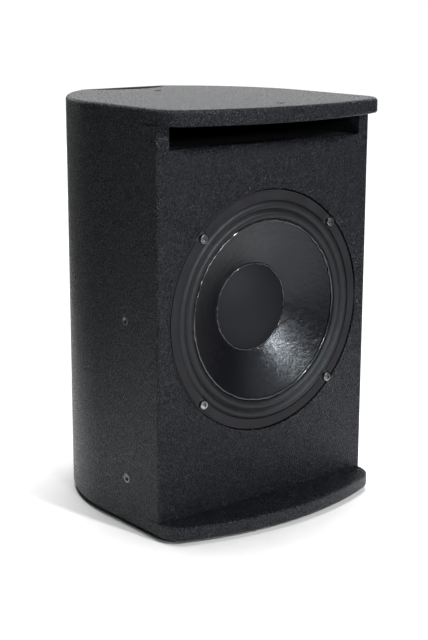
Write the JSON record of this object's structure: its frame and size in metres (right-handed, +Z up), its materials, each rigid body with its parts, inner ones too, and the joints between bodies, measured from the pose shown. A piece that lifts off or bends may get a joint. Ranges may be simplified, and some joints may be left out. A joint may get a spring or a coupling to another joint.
{
  "type": "pa speaker cabinet",
  "caption": "Compact stage loudspeaker: textured black wooden cabinet with curved sides, a slot port under the top lip and a large round cone driver in its front baffle.",
  "frame": {"origin": "on the floor, under the middle of the cabinet's overall box", "axes": "+Z up, -Y the front, where the driver faces, and +X to the right as seen from the front"},
  "size_m": [0.352, 0.376, 0.543],
  "materials": {
    "painted_wood": "black textured paint on birch plywood",
    "bare_wood": "bare plywood",
    "port_paint": "matt black paint",
    "bar_steel": "black painted steel bar",
    "moulded_black": "moulded black plastic",
    "foam": "open-cell damping foam",
    "plate_black": "black anodised sheet",
    "socket_black": "moulded black plastic",
    "dark_screw": "black zinc",
    "zinc": "bright zinc",
    "insert_steel": "dull zinc",
    "rubber": "black rubber",
    "frame_metal": "black powder coat",
    "gasket_card": "matt charcoal gasket",
    "surround_cloth": "doped cloth",
    "cone_paper": "coated black paper",
    "cap_paper": "matt black felted paper",
    "coil_former": "amber film",
    "copper": "enamelled wire",
    "spider_cloth": "resin-coated cloth",
    "plate_steel": "zinc-plated steel",
    "ferrite": "sintered ferrite",
    "terminal_board": "phenolic board",
    "braid": "copper braid",
    "cable_jacket": "cable jacket"
  },
  "bodies": {
    "cabinet": {"top_panel": "painted_wood", "bottom_panel": "painted_wood", "left_side_panel": "painted_wood", "right_side_panel": "painted_wood", "rear_panel": "painted_wood", "front_baffle": "painted_wood", "port_shelf": "port_paint", "shelf_battens": "bare_wood", "rear_brace": "bare_wood", "hand_hold_cup": "moulded_black", "grip_bar": "bar_steel", "side_lining": "foam", "rear_lining": "foam", "connector_plate": "plate_black", "plate_screws": "dark_screw", "upper_socket": "socket_black", "lower_socket": "socket_black", "socket_screws": "dark_screw", "left_inserts": "insert_steel", "right_inserts": "insert_steel", "top_inserts": "insert_steel", "pole_socket": "frame_metal", "pole_socket_screws": "dark_screw", "rubber_feet": "rubber", "foot_screws": "zinc", "driver_frame": "frame_metal", "driver_seal": "foam", "front_gasket": "gasket_card", "driver_screws": "zinc", "t_nuts": "zinc", "surround": "surround_cloth", "spider": "spider_cloth", "front_plate": "plate_steel", "magnet": "ferrite", "back_plate": "plate_steel", "terminal_strip": "terminal_board", "tinsel_leads": "braid", "speaker_cable": "cable_jacket"},
    "moving_cone": {"cone": "cone_paper", "dust_cap": "cap_paper", "coil_former": "coil_former", "coil_winding": "copper"}
  },
  "joints": [
    {"name": "cone_travel", "type": "slide", "parent": "cabinet", "child": "moving_cone", "axis": [0, -1, 0], "range_m": [-0.006, 0.006], "stiffness_N_per_m": 4800, "deforming": ["surround", "spider", "tinsel_leads"]}
  ]
}
